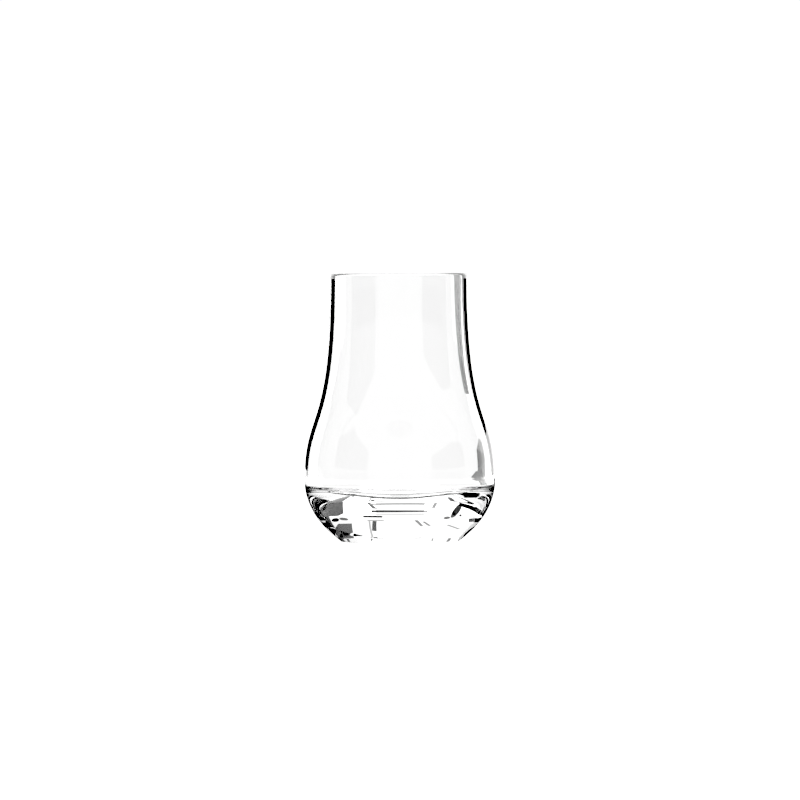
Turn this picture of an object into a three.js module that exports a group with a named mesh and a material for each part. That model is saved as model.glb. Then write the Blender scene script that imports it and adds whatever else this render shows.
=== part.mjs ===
// Rum tumbler: a clear spirit glass with a round belly, a drawn-in neck and a heavy solid base.
// Millimetres, +Z up, origin at the middle of the foot on the table.
import * as THREE from 'three';

// Driving dimensions
const glassHeight = 100; // table to the top of the lip
const rimDiameter = 51.1; // outside, at the lip
const bellyDiameter = 70.9; // outside, at the widest girth
const bellyHeight = 23.1; // widest girth above the table
const neckWall = 1.8; // glass thickness at the lip
const bellyWall = 1.1; // glass thickness at the widest girth
const cornerHeight = 21.5; // where the inside wall starts to turn in to the floor, above the table
const floorHeight = 17.4; // inside floor above the table
const floorDiameter = 41; // flat middle of the inside floor
const bowlFloor = 2; // glass of the bowl under its floor, down to the seam
const footDiameter = 42; // outer edge of the flat ring that stands on the table
const footRingWidth = 4.4; // flat ring, from its inner to its outer edge
const footEdgeRadius = 2; // rounding between the flat ring and the side of the base
const footSlope = 38; // degrees, side of the base above the table where it leaves the foot
const puntDepth = 1.6; // hollow under the base, at the axis

// Shape of the curves
const bellyUpright = 0.355; // share of the belly-to-lip height that pulls the belly upright
const neckUpright = 0.757; // share of the belly-to-lip height that pulls the neck straight
const baseUpright = 12.6; // pull of the belly down into the side of the base
const baseFlare = 4.5; // pull of the foot out along its slope
const cornerUpright = 0.36; // share of the corner's drop that pulls the inside corner upright
const cornerFlat = 11; // pull of the inside floor out along its slope
const cornerSlope = 8; // degrees, inside corner above level where it meets the floor

// Facets of the turned solids
const facets = 48; // around the axis
const wallSteps = 14; // belly to lip, outside and inside alike
const lipSteps = 6; // over the rounded lip
const bowlSideSteps = 4; // seam to belly
const cornerSteps = 10; // inside wall to the flat of the inside floor
const baseSideSteps = 8; // foot to seam
const footEdgeSteps = 3; // rounding of the foot
const puntSteps = 4; // axis to the flat ring

// Finish
const glassTint = 0xf3f7f7; // clear, colourless soda-lime glass
const glassRoughness = 0.02; // fire polished
const glassOpacity = 0.3;

// Sizes that follow from the driving ones
const rimRadius = rimDiameter / 2;
const bellyRadius = bellyDiameter / 2;
const footRadius = footDiameter / 2;
const floorRadius = floorDiameter / 2;
const lipRadius = neckWall / 2;
const lipHeight = glassHeight - lipRadius;
const wallRise = lipHeight - bellyHeight;
const seamHeight = floorHeight - bowlFloor;

function point(radius, height) {
  return new THREE.Vector2(radius, height);
}

// One side of the wall: upright at the belly, drawn in, then straight up to the lip
function wallCurve(startHeight, bellyInset, rimInset) {
  const belly = bellyRadius - bellyInset;
  const rim = rimRadius - rimInset;
  return new THREE.CubicBezierCurve(
    point(belly, startHeight),
    point(belly, bellyHeight + wallRise * bellyUpright),
    point(rim, lipHeight - wallRise * neckUpright),
    point(rim, lipHeight),
  );
}

// Half round over the lip, from the outside to the inside
function lipCurve() {
  return new THREE.EllipseCurve(rimRadius - lipRadius, lipHeight, lipRadius, lipRadius, 0, Math.PI);
}

// Inside corner, from the wall down to the flat of the floor
function cornerCurve() {
  const belly = bellyRadius - bellyWall;
  const slope = THREE.MathUtils.degToRad(cornerSlope);
  return new THREE.CubicBezierCurve(
    point(belly, cornerHeight),
    point(belly, cornerHeight - (cornerHeight - floorHeight) * cornerUpright),
    point(floorRadius + cornerFlat * Math.cos(slope), floorHeight + cornerFlat * Math.sin(slope)),
    point(floorRadius, floorHeight),
  );
}

// Rounding of the foot, from the flat ring to the slope of the side
function footEdgeCurve() {
  const end = -Math.PI / 2 + THREE.MathUtils.degToRad(footSlope);
  return new THREE.EllipseCurve(footRadius, footEdgeRadius, footEdgeRadius, footEdgeRadius, -Math.PI / 2, end);
}

// Side of the base, from the foot's rounding up to the belly
function baseSideCurve() {
  const slope = THREE.MathUtils.degToRad(footSlope);
  const start = footEdgeCurve().getPoint(1);
  return new THREE.CubicBezierCurve(
    start,
    point(start.x + baseFlare * Math.cos(slope), start.y + baseFlare * Math.sin(slope)),
    point(bellyRadius, bellyHeight - baseUpright),
    point(bellyRadius, bellyHeight),
  );
}

// Hollow under the base, from the axis to the flat ring
function puntCurve() {
  const edge = footRadius - footRingWidth;
  return new THREE.QuadraticBezierCurve(point(0, puntDepth), point(edge / 2, puntDepth), point(edge, 0));
}

// Points of a curve between two of its parameters, both ends included
function stretch(curve, from, to, steps) {
  const points = [];
  for (let step = 0; step <= steps; step += 1) {
    points.push(curve.getPoint(THREE.MathUtils.lerp(from, to, step / steps)));
  }
  return points;
}

// Parameter where a rising curve passes a height
function parameterAtHeight(curve, height) {
  let low = 0;
  let high = 1;
  for (let halving = 0; halving < 40; halving += 1) {
    const middle = (low + high) / 2;
    if (curve.getPoint(middle).y < height) {
      low = middle;
    } else {
      high = middle;
    }
  }
  return low;
}

// Joins stretches end to end, leaving out the point that each shares with the one before
function joined(stretches) {
  return stretches.flatMap((points, index) => points.slice(index === 0 ? 0 : 1));
}

// A profile turned about the axis, raised from the lathe's +Y to +Z
function turned(name, profile) {
  const geometry = new THREE.LatheGeometry(profile, facets);
  geometry.rotateX(Math.PI / 2);
  const material = new THREE.MeshStandardMaterial({
    color: glassTint,
    roughness: glassRoughness,
    metalness: 0,
    transparent: true,
    opacity: glassOpacity,
  });
  const mesh = new THREE.Mesh(geometry, material);
  mesh.name = name;
  return mesh;
}

const baseSide = baseSideCurve();
const seam = parameterAtHeight(baseSide, seamHeight);
const seamEdge = baseSide.getPoint(seam);
const seamMiddle = point(0, seamEdge.y);

// Thin-walled bowl with its own floor, from the seam round the lip and back to the axis
function bowl() {
  const floorEdge = point(floorRadius, floorHeight);
  const floorMiddle = point(0, floorHeight);
  return turned('bowl', joined([
    [seamMiddle, seamEdge],
    stretch(baseSide, seam, 1, bowlSideSteps),
    stretch(wallCurve(bellyHeight, 0, 0), 0, 1, wallSteps),
    stretch(lipCurve(), 0, 1, lipSteps),
    stretch(wallCurve(cornerHeight, bellyWall, neckWall), 1, 0, wallSteps),
    stretch(cornerCurve(), 0, 1, cornerSteps),
    [floorEdge, floorMiddle],
  ]));
}

// Solid heavy base, from the hollow underneath round the foot and up to the seam
function base() {
  const ringEdge = point(footRadius, 0);
  return turned('base', joined([
    stretch(puntCurve(), 0, 1, puntSteps),
    [puntCurve().getPoint(1), ringEdge],
    stretch(footEdgeCurve(), 0, 1, footEdgeSteps),
    stretch(baseSide, 0, seam, baseSideSteps),
    [seamEdge, seamMiddle],
  ]));
}

const rumTumbler = new THREE.Group();
rumTumbler.add(bowl(), base());

export default rumTumbler;
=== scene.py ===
# Rum tumbler: clear spirit glass with a round belly, a drawn-in neck and a heavy solid base
import math
import bmesh
import bpy
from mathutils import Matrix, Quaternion, Vector


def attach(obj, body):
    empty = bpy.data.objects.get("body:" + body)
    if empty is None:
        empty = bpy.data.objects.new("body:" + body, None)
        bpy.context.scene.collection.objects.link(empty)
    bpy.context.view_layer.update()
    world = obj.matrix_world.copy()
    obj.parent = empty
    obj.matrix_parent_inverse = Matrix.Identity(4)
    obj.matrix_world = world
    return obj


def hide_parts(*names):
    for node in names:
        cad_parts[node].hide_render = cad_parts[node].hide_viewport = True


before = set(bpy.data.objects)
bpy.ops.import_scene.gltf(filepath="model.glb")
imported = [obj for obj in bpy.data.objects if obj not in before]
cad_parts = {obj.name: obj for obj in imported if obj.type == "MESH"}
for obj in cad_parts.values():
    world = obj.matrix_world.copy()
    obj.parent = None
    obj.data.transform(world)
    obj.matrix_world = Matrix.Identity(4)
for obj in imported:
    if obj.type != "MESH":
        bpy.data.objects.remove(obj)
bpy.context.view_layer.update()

mm = 0.001
print("tumbler: frame loaded, nodes", sorted(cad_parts))


# sRGB hex to the linear values that Blender mixes in
def hexToLinear(code):
    channels = [int(code[i:i + 2], 16) / 255 for i in (1, 3, 5)]
    return [c / 12.92 if c <= 0.04045 else ((c + 0.055) / 1.055) ** 2.4 for c in channels] + [1.0]


# adds a node with its settings; an input is a plain value or another node's output
def addNode(tree, kind, inputs, **settings):
    node = tree.nodes.new(kind)
    for name, value in settings.items():
        setattr(node, name, value)
    for name, value in inputs.items():
        if isinstance(value, bpy.types.NodeSocket):
            tree.links.new(value, node.inputs[name])
        else:
            node.inputs[name].default_value = value
    return node


def emptyMaterial(name):
    material = bpy.data.materials.new(name)
    material.use_nodes = True
    material.node_tree.nodes.clear()
    return material


def addObject(name, mesh):
    thing = bpy.data.objects.new(name, mesh)
    bpy.context.collection.objects.link(thing)
    return thing


# shape of the whole glass in mm and degrees, the same sizes as the CAD part
shape = {
    "height": 100, "rimDiameter": 51.1, "bellyDiameter": 70.9, "bellyHeight": 23.1,
    "neckWall": 1.8, "bellyWall": 1.1,
    "cornerHeight": 21.5, "floorHeight": 17.4, "floorDiameter": 41, "bowlFloor": 2,
    "footDiameter": 42, "footRingWidth": 4.4, "footEdgeRadius": 2, "footSlope": 38, "puntDepth": 1.6,
    "bellyUpright": 0.355, "neckUpright": 0.757, "baseUpright": 12.6, "baseFlare": 4.5,
    "cornerUpright": 0.36, "cornerFlat": 11, "cornerSlope": 8,
    "ringSoftening": 0.5,  # the flat ring's inner edge is melted a little, as on any fire-polished foot
}
# steps along each stretch of the profile, and round the axis
steps = {
    "punt": 30, "ringEdge": 8, "footEdge": 14, "baseSide": 80,
    "wall": 110, "lip": 32, "corner": 60, "floor": 20, "around": 288,
}
samePoint = 1e-6  # mm, points closer than this are one


def cubic(a, b, c, d, count):
    points = []
    for i in range(count + 1):
        t = i / count
        k = ((1 - t) ** 3, 3 * t * (1 - t) ** 2, 3 * t * t * (1 - t), t ** 3)
        points.append(tuple(k[0] * a[j] + k[1] * b[j] + k[2] * c[j] + k[3] * d[j] for j in (0, 1)))
    return points


def quadratic(a, b, c, count):
    first = tuple(a[j] + (b[j] - a[j]) * 2 / 3 for j in (0, 1))
    second = tuple(c[j] + (b[j] - c[j]) * 2 / 3 for j in (0, 1))
    return cubic(a, first, second, c, count)


def arc(centre, radius, start, end, count):
    angles = [start + (end - start) * i / count for i in range(count + 1)]
    return [(centre[0] + radius * math.cos(a), centre[1] + radius * math.sin(a)) for a in angles]


# point some way out along a slope in degrees
def upSlope(start, length, slope):
    angle = math.radians(slope)
    return start[0] + length * math.cos(angle), start[1] + length * math.sin(angle)


# one side of the wall: upright at the belly, drawn in, then straight up to the lip
def wallLine(s, startHeight, bellyInset, rimInset):
    belly = s["bellyDiameter"] / 2 - bellyInset
    rim = s["rimDiameter"] / 2 - rimInset
    lipHeight = s["height"] - s["neckWall"] / 2
    rise = lipHeight - s["bellyHeight"]
    bellyPull = (belly, s["bellyHeight"] + rise * s["bellyUpright"])
    neckPull = (rim, lipHeight - rise * s["neckUpright"])
    return cubic((belly, startHeight), bellyPull, neckPull, (rim, lipHeight), steps["wall"])


# profile from the axis underneath, round the foot, up outside, over the lip and down to the inside floor
def glassProfile(s):
    foot = s["footDiameter"] / 2
    belly = s["bellyDiameter"] / 2
    floor = s["floorDiameter"] / 2
    lip = s["neckWall"] / 2
    inner = belly - s["bellyWall"]
    ring = foot - s["footRingWidth"]
    soft = s["ringSoftening"]
    down = -math.pi / 2
    punt = quadratic((0, s["puntDepth"]), (ring / 2, s["puntDepth"]), (ring, 0), steps["punt"])
    punt = [p for p in punt if p[0] < ring - soft]
    ringEdge = quadratic(punt[-1], (ring, 0), (ring + soft, 0), steps["ringEdge"])
    footMiddle = (foot, s["footEdgeRadius"])
    footTurn = down + math.radians(s["footSlope"])
    footEdge = arc(footMiddle, s["footEdgeRadius"], down, footTurn, steps["footEdge"])
    flare = upSlope(footEdge[-1], s["baseFlare"], s["footSlope"])
    basePull = (belly, s["bellyHeight"] - s["baseUpright"])
    baseSide = cubic(footEdge[-1], flare, basePull, (belly, s["bellyHeight"]), steps["baseSide"])
    outside = wallLine(s, s["bellyHeight"], 0, 0)
    lipRound = arc((s["rimDiameter"] / 2 - lip, s["height"] - lip), lip, 0, math.pi, steps["lip"])
    inside = wallLine(s, s["cornerHeight"], s["bellyWall"], s["neckWall"])[::-1]
    floorEdge = (floor, s["floorHeight"])
    drop = (s["cornerHeight"] - s["floorHeight"]) * s["cornerUpright"]
    cornerPull = (inner, s["cornerHeight"] - drop)
    floorPull = upSlope(floorEdge, s["cornerFlat"], s["cornerSlope"])
    corner = cubic((inner, s["cornerHeight"]), cornerPull, floorPull, floorEdge, steps["corner"])
    inFloor = [(floor * (1 - i / steps["floor"]), s["floorHeight"]) for i in range(steps["floor"] + 1)]
    line = list(punt)
    for stretch in (ringEdge, footEdge, baseSide, outside, lipRound, inside, corner, inFloor):
        line += [p for p in stretch if math.dist(p, line[-1]) > samePoint]
    return line


# outward normals of the profile, from its neighbours on both sides, so that no seam shows in the light
def profileNormals(line):
    outward = []
    for i, point in enumerate(line):
        before = line[max(i - 1, 0)]
        after = line[min(i + 1, len(line) - 1)]
        a = Vector((point[0] - before[0], point[1] - before[1]))
        b = Vector((after[0] - point[0], after[1] - point[1]))
        along = a.normalized() + b.normalized() if a.length and b.length else a + b
        along.normalize()
        outward.append((along.y, -along.x))
    outward[0] = (0, -1)
    outward[-1] = (0, 1)
    return outward


# turns a stretch of the profile about the axis into a smooth shell
def turnedShell(name, line, outward):
    mesh = bpy.data.meshes.new(name)
    shell = bmesh.new()
    around = steps["around"]
    angles = [2 * math.pi * k / around for k in range(around)]
    circle = [(math.cos(t), math.sin(t)) for t in angles]
    rings, vertexNormals = [], []
    for (radius, height), (nr, nz) in zip(line, outward):
        spokes = circle if radius > samePoint else circle[:1]
        rings.append([shell.verts.new((radius * x * mm, radius * y * mm, height * mm)) for x, y in spokes])
        vertexNormals += [(nr * x, nr * y, nz) for x, y in spokes]
    for lower, upper in zip(rings, rings[1:]):
        for k in range(around):
            n = (k + 1) % around
            if len(lower) == 1:
                shell.faces.new((lower[0], upper[n], upper[k]))
            elif len(upper) == 1:
                shell.faces.new((lower[k], lower[n], upper[0]))
            else:
                shell.faces.new((lower[k], lower[n], upper[n], upper[k]))
    for face in shell.faces:
        face.smooth = True
    shell.to_mesh(mesh)
    shell.free()
    mesh.normals_split_custom_set_from_vertices(vertexNormals)
    return addObject(name, mesh)


# clear soda-lime glass, blown and fire polished: no colour, a mirror-smooth skin with a long slow
# waviness left from the heat, upright cords from the gather, and a trace of handling film
def makeClearGlass(look):
    material = emptyMaterial(look["material"])
    tree = material.node_tree
    place = addNode(tree, "ShaderNodeTexCoord", {}).outputs["Object"]
    wave = addNode(tree, "ShaderNodeTexNoise", {
        "Vector": place, "Scale": 1 / (look["waveMm"] * mm),
        "Detail": look["waveDetail"], "Roughness": look["waveRoughness"]})
    drawnUp = addNode(tree, "ShaderNodeMapping", {"Vector": place, "Scale": (1, 1, look["cordStretch"])})
    cords = addNode(tree, "ShaderNodeTexNoise", {
        "Vector": drawnUp.outputs["Vector"], "Scale": 1 / (look["cordMm"] * mm),
        "Detail": look["cordDetail"]})
    heat = addNode(tree, "ShaderNodeBump", {
        "Height": wave.outputs["Fac"], "Strength": 1.0, "Distance": look["waveDepthMm"] * mm})
    skin = addNode(tree, "ShaderNodeBump", {
        "Height": cords.outputs["Fac"], "Strength": 1.0, "Distance": look["cordDepthMm"] * mm,
        "Normal": heat.outputs["Normal"]})
    film = addNode(tree, "ShaderNodeTexNoise", {
        "Vector": place, "Scale": 1 / (look["filmMm"] * mm), "Detail": look["filmDetail"]})
    polish = addNode(tree, "ShaderNodeMapRange", {
        "Value": film.outputs["Fac"], "From Min": look["filmRange"][0], "From Max": look["filmRange"][1],
        "To Min": look["roughness"][0], "To Max": look["roughness"][1]})
    glass = addNode(tree, "ShaderNodeBsdfPrincipled", {
        "Base Color": hexToLinear(look["colour"]), "Metallic": 0.0, "IOR": look["ior"],
        "Transmission Weight": 1.0, "Roughness": polish.outputs["Result"], "Normal": skin.outputs["Normal"]})
    addNode(tree, "ShaderNodeOutputMaterial", {"Surface": glass.outputs["BSDF"]})
    return material


profile = glassProfile(shape)
normals = profileNormals(profile)
seamHeight = shape["floorHeight"] - shape["bowlFloor"]
seam = next(i for i, p in enumerate(profile) if p[0] > shape["footDiameter"] / 2 and p[1] >= seamHeight)

# what the glass of both pieces shares
clearGlass = {
    "colour": "#fefefe", "ior": 1.52, "roughness": (0.0, 0.004),
    "waveDepthMm": 0.012, "waveDetail": 1.0, "waveRoughness": 0.4,
    "cordDepthMm": 0.0012, "cordDetail": 0.0,
    "filmMm": 9, "filmDetail": 3.0, "filmRange": (0.45, 0.75),
}

# bowl: thin wall, lip and inside floor; open underneath, where the base's glass goes on without a break
bowlLook = clearGlass | {"material": "blownSodaLimeGlass", "waveMm": 22, "cordMm": 5, "cordStretch": 0.12}
bowl = turnedShell("bowlGlass", profile[seam:], normals[seam:])
bowl.data.materials.append(makeClearGlass(bowlLook))
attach(bowl, "root")
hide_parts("bowl")
print("tumbler: bowl turned,", len(bowl.data.polygons), "faces")

# base: solid glass under the seam, with the rounded foot, the flat ring and the hollow underneath
baseLook = clearGlass | {"material": "castSodaLimeGlass", "waveMm": 14, "cordMm": 6, "cordStretch": 0.3}
base = turnedShell("baseGlass", profile[:seam + 1], normals[:seam + 1])
base.data.materials.append(makeClearGlass(baseLook))
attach(base, "root")
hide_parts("base")
print("tumbler: base turned,", len(base.data.polygons), "faces")

facesOfSolid = 2  # faces that light passes on its way through solid glass; across the hollow bowl it is four
halfStep = 0.5  # the counts are whole numbers, so a limit stands between two of them
glowMaterials = {}


# glowing cards of one even tone with no shine: the white ones, and the dim grey panels low in the tent, are
# the studio's lamps and table; the other grey and black ones are painted grey and dark reflections and
# refractions in the glass
# a card can be kept to light that has turned inside the glass on its way through two faces, which is
# what the base and the edges of the wall show, or to light that crosses the hollow bowl
def makeGlowMaterial(brightness, seen=None):
    kind = "whitePaper" if brightness >= 1 else "dimLampAndPaintedGrey" if brightness > 0 else "paintedDarkCard"
    material = emptyMaterial(kind)
    tree = material.node_tree
    glow = addNode(tree, "ShaderNodeEmission", {"Color": hexToLinear("#ffffff"), "Strength": brightness})
    surface = glow.outputs["Emission"]
    if seen:
        path = addNode(tree, "ShaderNodeLightPath", {})
        passed = {0: path.outputs["Transmission Depth"], 1: facesOfSolid + halfStep}
        if seen == "acrossBowl":
            share = addNode(tree, "ShaderNodeMath", passed, operation="GREATER_THAN")
        else:
            few = addNode(tree, "ShaderNodeMath", passed, operation="LESS_THAN")
            turned = addNode(tree, "ShaderNodeMath", {0: path.outputs["Glossy Depth"], 1: halfStep},
                             operation="GREATER_THAN")
            share = addNode(tree, "ShaderNodeMath", {0: few.outputs["Value"], 1: turned.outputs["Value"]},
                            operation="MULTIPLY")
        clear = addNode(tree, "ShaderNodeBsdfTransparent", {})
        kept = addNode(tree, "ShaderNodeMixShader", {
            0: share.outputs["Value"], 1: clear.outputs["BSDF"], 2: glow.outputs["Emission"]})
        surface = kept.outputs["Shader"]
    addNode(tree, "ShaderNodeOutputMaterial", {"Surface": surface})
    return material


# cards that are alike share their glow material
def glowMaterialFor(brightness, seen=None):
    if (brightness, seen) not in glowMaterials:
        glowMaterials[brightness, seen] = makeGlowMaterial(brightness, seen)
    return glowMaterials[brightness, seen]


# how the cards are cut: a card is bent in steps of some degrees, and a lying one is some mm over the table
cardCut = {"bendDegrees": 2, "ovalSides": 32, "lyingHeight": 0.2}


# card round the glass, from its four corners: bottom left, bottom right, top right, top left
# a corner is degrees round from straight behind the glass, + to the right, and mm up; a card that lies
# on the table has mm out from the axis instead
def addCard(name, card):
    mesh = bpy.data.meshes.new(name)
    lowLeft, lowRight, highRight, highLeft = card["corners"]
    if "oval" in card:
        sides = cardCut["ovalSides"]
        angles = [2 * math.pi * k / sides for k in range(sides)]
        grid = [(0.5 + 0.5 * math.cos(t), 0.5 + 0.5 * math.sin(t)) for t in angles]
        faces = [tuple(range(sides))]
    else:
        across = max(2, int(abs(lowRight[0] - lowLeft[0]) / cardCut["bendDegrees"]))
        row = across + 1
        grid = [(i / across, up) for up in (0, 0.5, 1) for i in range(row)]
        firsts = [k + i for k in (0, row) for i in range(across)]
        faces = [(f, f + 1, f + 1 + row, f + row) for f in firsts]
    points = []
    for along, up in grid:
        low = [a * (1 - along) + b * along for a, b in zip(lowLeft, lowRight)]
        high = [a * (1 - along) + b * along for a, b in zip(highLeft, highRight)]
        degrees, place = (a * (1 - up) + b * up for a, b in zip(low, high))
        turn = math.radians(degrees)
        reach, height = (place, cardCut["lyingHeight"]) if card["lies"] else (card["distance"], place)
        points.append((reach * math.sin(turn) * mm, reach * math.cos(turn) * mm, height * mm))
    mesh.from_pydata(points, [], faces)
    mesh.materials.append(glowMaterialFor(card["glow"], card.get("seen")))
    thing = addObject(name, mesh)
    thing.visible_camera = False  # stands outside the picture
    thing.visible_transmission = "mirrored" not in card
    thing.visible_glossy = "through" not in card


# mm from the axis, brightness, corners
def upright(distance, glow, *corners):
    return {"lies": False, "distance": distance, "glow": glow, "corners": corners}


def lying(glow, *corners):
    return {"lies": True, "glow": glow, "corners": corners}


# rounded to an oval inside its corners
def oval(card):
    return card | {"oval": True}


# only on the face of the glass, not through it
def mirrored(card):
    return card | {"mirrored": True}


# only through the glass, not on its face
def through(card):
    return card | {"through": True}


# only after a turn inside the glass
def inGlass(card):
    return card | {"seen": "inGlass"}


# only across the hollow bowl
def acrossBowl(card):
    return card | {"seen": "acrossBowl"}


# corners of a card that goes from one bearing to another between two heights
def band(first, last, low, high):
    return (first, low), (last, low), (last, high), (first, high)


# studio: a white tent, brighter behind to both sides, with a gap on either side of the camera; the gaps
# are papered over for light that comes through the glass, and dark for its face to mirror
tentRadius = 900
tentTop = 1600
white = 1.02
brightWhite = 2.0
tent = {
    "paperBehind": upright(tentRadius, white, *band(-10, 10, -20, tentTop)),
    "paperBehindLeft": upright(tentRadius, brightWhite, *band(-62, -10, -20, tentTop)),
    "paperBehindRight": upright(tentRadius, brightWhite, *band(10, 62, -20, tentTop)),
    "sideLightLeft": upright(tentRadius, white, *band(-95, -62, -20, tentTop)),
    "sideLightRight": upright(tentRadius, white, *band(62, 95, -20, tentTop)),
    "lowFrontLeft": upright(tentRadius, 0.75, *band(-141, -95, 0, 80)),
    "lowFrontRight": upright(tentRadius, 0.75, *band(95, 141, 0, 80)),
    "topFrontLeft": upright(tentRadius, white, (-141, 286), (-115, 513), (-115, tentTop), (-141, tentTop)),
    "topSideLeft": upright(tentRadius, white, (-115, 513), (-95, 372), (-95, tentTop), (-115, tentTop)),
    "topSideRight": upright(tentRadius, white, (95, 300), (112, 350), (112, tentTop), (95, tentTop)),
    "topFrontRight": upright(tentRadius, white, (112, 350), (141, 222), (141, tentTop), (112, tentTop)),
    "gapPaperLeft": through(upright(tentRadius + 5, white, *band(-141, -95, 80, 520))),
    "gapPaperRight": through(upright(tentRadius + 5, white, *band(95, 141, 80, 360))),
    "frontLight": upright(tentRadius + 100, white, *band(141, 219, 0, tentTop)),
}

# painted dark reflections and refractions: black cards that give the dark outline down both sides of the
# wall
edgeCards = {
    "edgeRing": inGlass(through(upright(60, 0, *band(-180, 180, 25, 98.5)))),
    "edgeFaceLeft": mirrored(upright(150, 0, (-40, 25), (-21, 25), (-34, 98.5), (-52, 98.5))),
    "edgeFaceRight": mirrored(upright(150, 0, *band(31, 46, 56, 98.5))),
}

# painted grey refraction: glowing grey cards, with a black one at its edge, give the grey strip down the
# right side of the neck and the belly, across the bowl
stripCards = {
    "greyStripHigh": upright(151, 0.26, (16.3, 59), (17.6, 59.5), (20.5, 104), (15.8, 104)),
    "greyStripEdge": upright(151, 0, (17.6, 59.5), (20.5, 61), (29.5, 104), (20.5, 104)),
    "greyStripLow": upright(300, 0.16, (9.3, 20.8), (12, 20.8), (13.3, 36), (10, 36)),
    "greyStripTip": upright(300, 0.34, (10, 36), (13.3, 36), (13.1, 42.6), (11.8, 42.6)),
    "sweepRight": upright(300, 0.25, (7.9, 20.8), (9.3, 20.8), (9.5, 24.4), (9, 24.4)),
}

# painted dark and grey refractions: the dark and grey shapes that fill the base, from black and glowing grey
# cards behind the glass
near = 80
nearer = 79  # stands before the others
baseCards = {
    "panelRight": upright(near, 0.23, (13.5, 13), (42, 13), (42, 21), (13.5, 21)),
    "panelFootRight": upright(near, 0.23, (16.8, 11.2), (42, 10), (42, 13), (13.5, 13)),
    "wedgeRight": upright(nearer, 0, (25, 18.8), (44, 11), (44, 21.5), (25, 20.8)),
    "kickRight": upright(near, 0, (29.5, 7), (36, 7), (39, 12), (31, 10.5)),
    "legRight": upright(near, 0.19, (22, 0), (30, 0), (30, 10.6), (24, 11)),
    "footRight": upright(nearer, 0, (25.5, 0), (33.5, 0), (35, 4.8), (26.5, 5)),
    "blobRight": oval(upright(near, 0, (16.6, 7), (22.2, 5.8), (22.2, 8.6), (16.6, 10))),
    "smallBlobRight": oval(upright(near, 0.26, (12, 8.2), (16.4, 8.2), (16.4, 10.2), (12, 10))),
    "lowPanelRight": upright(near, 0.26, (12, 0), (22, 0), (18, 5), (11, 6.6)),
    "tablePanelRight": lying(0.26, (13, 66), (19, 64), (22, 80), (12, 80)),
    "tableSpotRight": oval(lying(0, (12.2, 67.5), (17.8, 67.5), (17.8, 76), (12.2, 76))),
    "discNearRight": through(lying(0, *band(8.4, 11.2, 70, 77))),
    "tableFootRight": lying(0, (18.8, 58), (21, 60), (34, 80), (20, 72)),
    "barLeft": upright(near, 0, (-46, 10.5), (-14.5, 17.6), (-14.5, 19.6), (-46, 18.6)),
    "stripLeft": oval(upright(near, 0.13, (-13.4, 9.8), (-10.4, 9.8), (-13.6, 19), (-16.8, 19))),
    "dotLeft": oval(upright(near, 0, (-16.4, 10.5), (-15, 10.5), (-15, 11.9), (-16.4, 11.9))),
    "dotMiddle": oval(upright(near, 0.21, (-11.2, 9.2), (-9, 9.2), (-9, 10.7), (-11.2, 10.7))),
    "kickLeft": upright(near, 0, (-46, 3), (-23.5, 4.8), (-22.3, 8), (-46, 9)),
    "tableEdgeLeft": lying(0, (-36, 50), (-17.5, 45), (-17.5, 62), (-36, 78)),
    "lineHigh": upright(near, 0.4, (-5.5, 17.3), (5.5, 17.3), (5.5, 17.9), (-5.5, 17.9)),
    "hookLeft": upright(near, 0.44, (-6.3, 15.6), (-5.6, 15.6), (-6.2, 18.4), (-7, 18.4)),
    "hookRight": upright(near, 0.21, (3.9, 15.4), (4.7, 15.4), (6, 18.6), (5.3, 18.6)),
    "lineMiddle": upright(near, 0.08, (-4.8, 13.7), (5, 13.6), (5, 14.6), (-4.8, 14.3)),
    "lineFaint": upright(near, 0.7, (-7, 12.3), (6, 12.3), (6, 12.7), (-7, 12.7)),
    "dashRight": upright(near, 0, (3, 11), (7, 11), (7, 11.9), (3, 11.7)),
    "dashLowRight": upright(near, 0.44, (2.8, 9.1), (6.2, 9), (6.2, 9.5), (2.8, 9.6)),
    "postRight": upright(near, 0.15, (4.6, 3.5), (5.6, 3.5), (5, 9), (4.2, 9)),
    "thinPostRight": upright(near, 0.54, (5.8, 0), (6.3, 0), (5.9, 9), (5.5, 9)),
    "dashFarLeft": upright(near, 0.35, (-6, 6), (-5.4, 6), (-3.9, 8.6), (-4.4, 8.6)),
    "dashNearLeft": upright(near, 0.35, (-4.3, 6.2), (-3.7, 6.2), (-2.4, 9.5), (-3, 9.5)),
    "curlLeft": upright(near, 0.44, (-18.4, 0), (-17, 0), (-10.4, 5.2), (-11.2, 5.4)),
}

# painted dark reflections: dark cards on the table, which show only on the face of the glass
tableCards = {
    "tableFaceLeft": lying(0, *band(-135, -14, 21.3, 300)),
    "tableFaceRight": lying(0, *band(14, 135, 38, 300)),
    # painted shadow: a dark sheet beside the foot, under the belly's overhang, for the glass's face to
    # mirror
    "tableSideRight": lying(0, (55, 26), (104, 21), (104, 24), (55, 50)),
}

# painted dark and grey refractions: black and glowing grey cards beside and before the glass, which show
# only through its base
throughCards = {
    "sideTableLeft": lying(0, (-68, 36), (-40, 31), (-40, 62), (-68, 62)),
    "frontDark": upright(near, 0.04, (163.5, 14), (181.5, 14.5), (184.5, 18.6), (163.5, 19.5)),
    "frontHorn": upright(near, 0.02, (163.5, 19.5), (174, 19), (172, 23), (164.5, 23)),
    "frontDarkLow": upright(near, 0, (168.5, 5), (181, 5), (180.5, 14), (169, 14)),
    "frontSpot": oval(upright(near, 0, (183.5, 13.6), (193.5, 13.6), (193.5, 17.4), (183.5, 17.4))),
    "frontGrey": upright(near, 0.3, (181, 5), (191, 5), (191, 13.6), (180.5, 13.6)),
}

studio = tent | edgeCards
studio |= {name: acrossBowl(card) for name, card in stripCards.items()}
studio |= {name: inGlass(card) for name, card in baseCards.items()}
studio |= {name: mirrored(card) for name, card in tableCards.items()}
studio |= {name: inGlass(through(card)) for name, card in throughCards.items()}
for name, card in studio.items():
    addCard(name, card)


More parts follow.
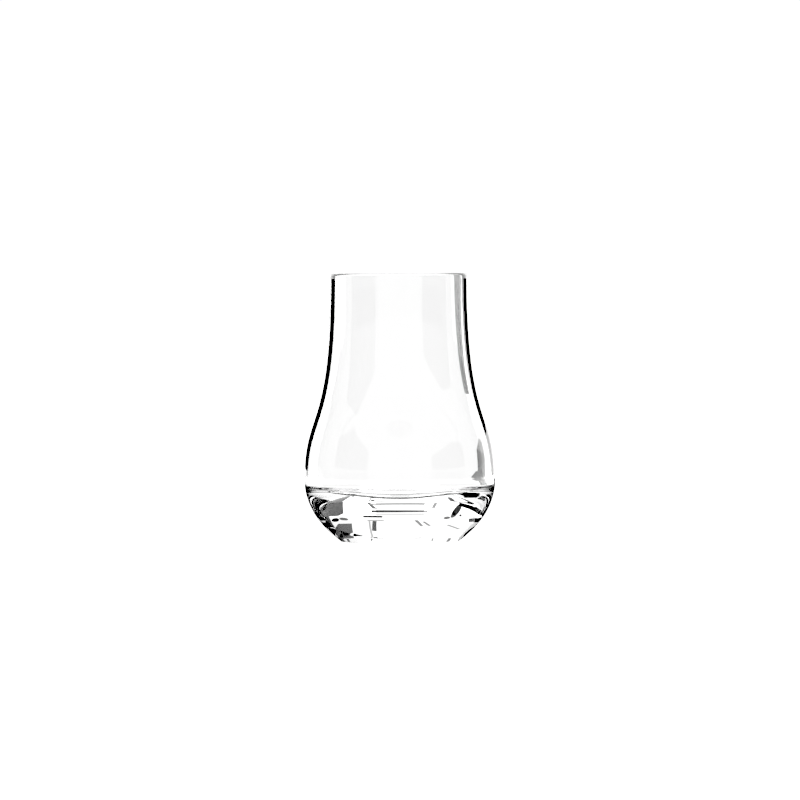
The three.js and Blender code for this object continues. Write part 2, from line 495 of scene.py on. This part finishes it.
# level square sheet, sizes in mm
def addSheet(name, sheet):
    half = sheet["size"] / 2 * mm
    height = sheet["height"] * mm
    corners = [(-half, -half, height), (half, -half, height), (half, half, height), (-half, half, height)]
    mesh = bpy.data.meshes.new(name)
    mesh.from_pydata(corners, [], [(0, 3, 2, 1) if sheet["facesDown"] else (0, 1, 2, 3)])
    mesh.materials.append(glowMaterialFor(sheet["glow"]))
    thing = addObject(name, mesh)
    thing.visible_camera = sheet["inPicture"]


# soft light overhead, and a pale, evenly lit table a hair under the foot
overhead = {"size": 1600, "height": 1600, "glow": white, "facesDown": True, "inPicture": False}
addSheet("overheadLight", overhead)
table = {"size": 5000, "height": -0.05, "glow": 1.12, "facesDown": False, "inPicture": True}
addSheet("paleTable", table)

# room: white where the camera looks straight at it, dark for the glass to mirror between the cards
world = bpy.data.worlds.new("studioRoom")
bpy.context.scene.world = world
world.use_nodes = True
world.node_tree.nodes.clear()
sight = addNode(world.node_tree, "ShaderNodeLightPath", {})
room = addNode(world.node_tree, "ShaderNodeBackground", {
    "Color": hexToLinear("#ffffff"), "Strength": sight.outputs["Is Camera Ray"]})
addNode(world.node_tree, "ShaderNodeOutputWorld", {"Surface": room.outputs["Background"]})
print("tumbler: studio set")

# camera: far off with a long lens, at the height of the lip; metres and degrees, the sensor in mm
view = {
    "distance": 2.5, "height": 0.102, "aimHeight": 0.0528, "aside": 0.00022, "roll": -0.36,
    "pixelsPerMm": 2.6816, "pictureWidth": 800, "sensor": 36, "farthest": 50,
}
cameraData = bpy.data.cameras.new("camera")
camera = addObject("camera", cameraData)
camera.location = (view["aside"], -view["distance"], view["height"])
toGlass = Vector((view["aside"], 0, view["aimHeight"])) - camera.location
roll = Quaternion((0, 0, 1), math.radians(view["roll"]))
camera.rotation_mode = "QUATERNION"
camera.rotation_quaternion = toGlass.to_track_quat("-Z", "Y") @ roll
halfWidth = view["pictureWidth"] / 2 / view["pixelsPerMm"] * mm
cameraData.sensor_width = view["sensor"]
cameraData.lens = view["sensor"] / 2 / (halfWidth / toGlass.length)
cameraData.clip_end = view["farthest"]
bpy.context.scene.camera = camera

# the picture is developed hard, with deep blacks and paper white; light may turn many times in the base
develop = {"black": 0.14, "white": 0.97, "bounces": 32, "glossyBounces": 16}
settings = bpy.context.scene
settings.view_settings.view_transform = "Standard"
settings.view_settings.use_curve_mapping = True
settings.view_settings.curve_mapping.black_level = [develop["black"]] * 3
settings.view_settings.curve_mapping.white_level = [develop["white"]] * 3
settings.cycles.max_bounces = develop["bounces"]
settings.cycles.transmission_bounces = develop["bounces"]
settings.cycles.glossy_bounces = develop["glossyBounces"]
print("tumbler: camera set, lens", round(cameraData.lens, 1), "mm")
